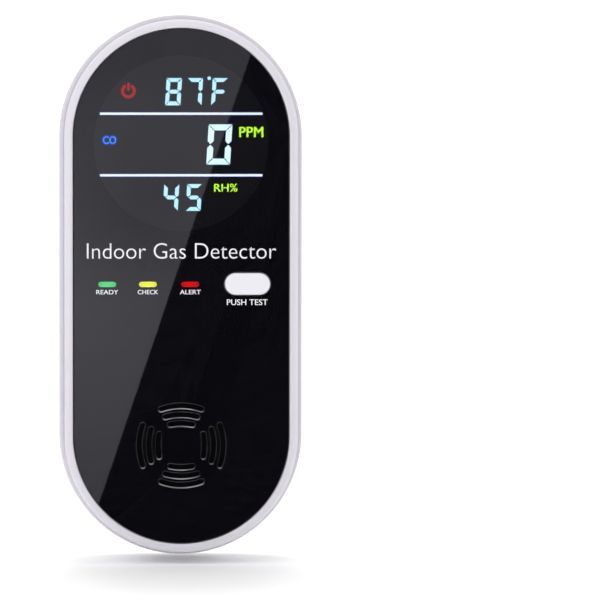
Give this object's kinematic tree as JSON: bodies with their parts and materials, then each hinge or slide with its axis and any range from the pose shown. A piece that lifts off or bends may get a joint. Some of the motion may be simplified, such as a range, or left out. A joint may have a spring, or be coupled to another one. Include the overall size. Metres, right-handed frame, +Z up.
{
  "type": "carbon monoxide detector",
  "caption": "Plug-in carbon monoxide alarm with a smoked lens over a lit display, status lamps, a test button, a sounder and a turning plug adapter on its back.",
  "frame": {"origin": "centre of the plug adapter's rear face, in the plane of the wall", "axes": "+Z up along the case, +Y into the wall along the plug blades, front towards -Y"},
  "size_m": [0.053, 0.0509, 0.1177],
  "materials": {
    "white_shell": "satin white moulded ABS",
    "white_key": "smooth white moulded key",
    "white_inner": "plain white moulding",
    "smoked_lens": "polished smoked acrylic",
    "black_film": "screen-printed black",
    "tape": "double-sided foam tape",
    "black_cloth": "fine woven dust cloth",
    "module_black": "matt black moulding",
    "lit_digit": "cyan-white lit diffuser",
    "unlit_digit": "unlit diffuser",
    "lit_bar": "white lit diffuser",
    "lit_icon": "red lit diffuser",
    "green_light": "green lit light guide",
    "yellow_light": "yellow lit light guide",
    "red_light": "red lit light guide",
    "lamp_chip": "clear lamp chip",
    "board": "green solder mask",
    "chip_black": "moulded epoxy",
    "brass": "bare brass",
    "blade_metal": "bright nickel plate",
    "dark_screw": "dark bronze plated",
    "zinc_screw": "zinc plated",
    "sensor_white": "white cell body",
    "sensor_cap": "pressed steel",
    "plunger": "black plunger",
    "ferrite": "sintered ferrite",
    "winding_tape": "yellow winding tape",
    "capacitor_sleeve": "shrunk sleeve",
    "fuse_body": "coated ceramic",
    "varistor_coat": "blue epoxy coat"
  },
  "bodies": {
    "plug": {"plug_adapter": "white_shell", "adapter_base": "white_inner", "adapter_screws": "zinc_screw", "blade_left": "blade_metal", "blade_right": "blade_metal"},
    "case": {"front_cover": "white_shell", "rear_cover": "white_shell", "latch_retainer": "white_inner", "front_panel": "smoked_lens", "panel_mask": "black_film", "panel_tape": "tape", "speaker_mesh": "black_cloth", "vent_screen": "black_cloth", "grille_screen": "black_cloth", "display_housing": "module_black", "buzzer_housing": "module_black", "display_digits": "lit_digit", "display_dark_segments": "unlit_digit", "display_bars": "lit_bar", "display_power_icon": "lit_icon", "power_light_pipe": "green_light", "fault_light_pipe": "yellow_light", "alarm_light_pipe": "red_light", "status_leds": "lamp_chip", "main_board": "board", "microcontroller": "chip_black", "display_driver": "chip_black", "bridge_rectifier": "chip_black", "tact_switch_body": "chip_black", "humidity_sensor": "chip_black", "live_contact": "brass", "neutral_contact": "brass", "buzzer_disc": "brass", "co_sensor_pins": "brass", "case_screw": "dark_screw", "board_screws": "zinc_screw", "latch_screws": "zinc_screw", "release_spring": "zinc_screw", "co_sensor_body": "sensor_white", "co_sensor_cap": "sensor_cap", "transformer_core": "ferrite", "transformer_winding": "winding_tape", "filter_capacitors": "capacitor_sleeve", "fuse": "fuse_body", "varistor": "varistor_coat"},
    "test_key": {"test_button": "white_key", "tact_switch_plunger": "plunger"},
    "release_key": {"release_button": "white_key"}
  },
  "joints": [
    {"name": "plug_turn", "type": "hinge", "parent": "plug", "child": "case", "pos_m": [0, 0, 0], "axis": [0, -1, 0], "range_deg": [0, 35]},
    {"name": "test_button_press", "type": "slide", "parent": "case", "child": "test_key", "axis": [0, 1, 0], "range_m": [0, 0.0006], "stiffness_N_per_m": 700, "springref_m": -0.0008},
    {"name": "release_button_press", "type": "slide", "parent": "case", "child": "release_key", "axis": [0, -1, 0], "range_m": [0, 0.0014], "stiffness_N_per_m": 500, "springref_m": -0.001, "deforming": ["release_spring"]}
  ]
}
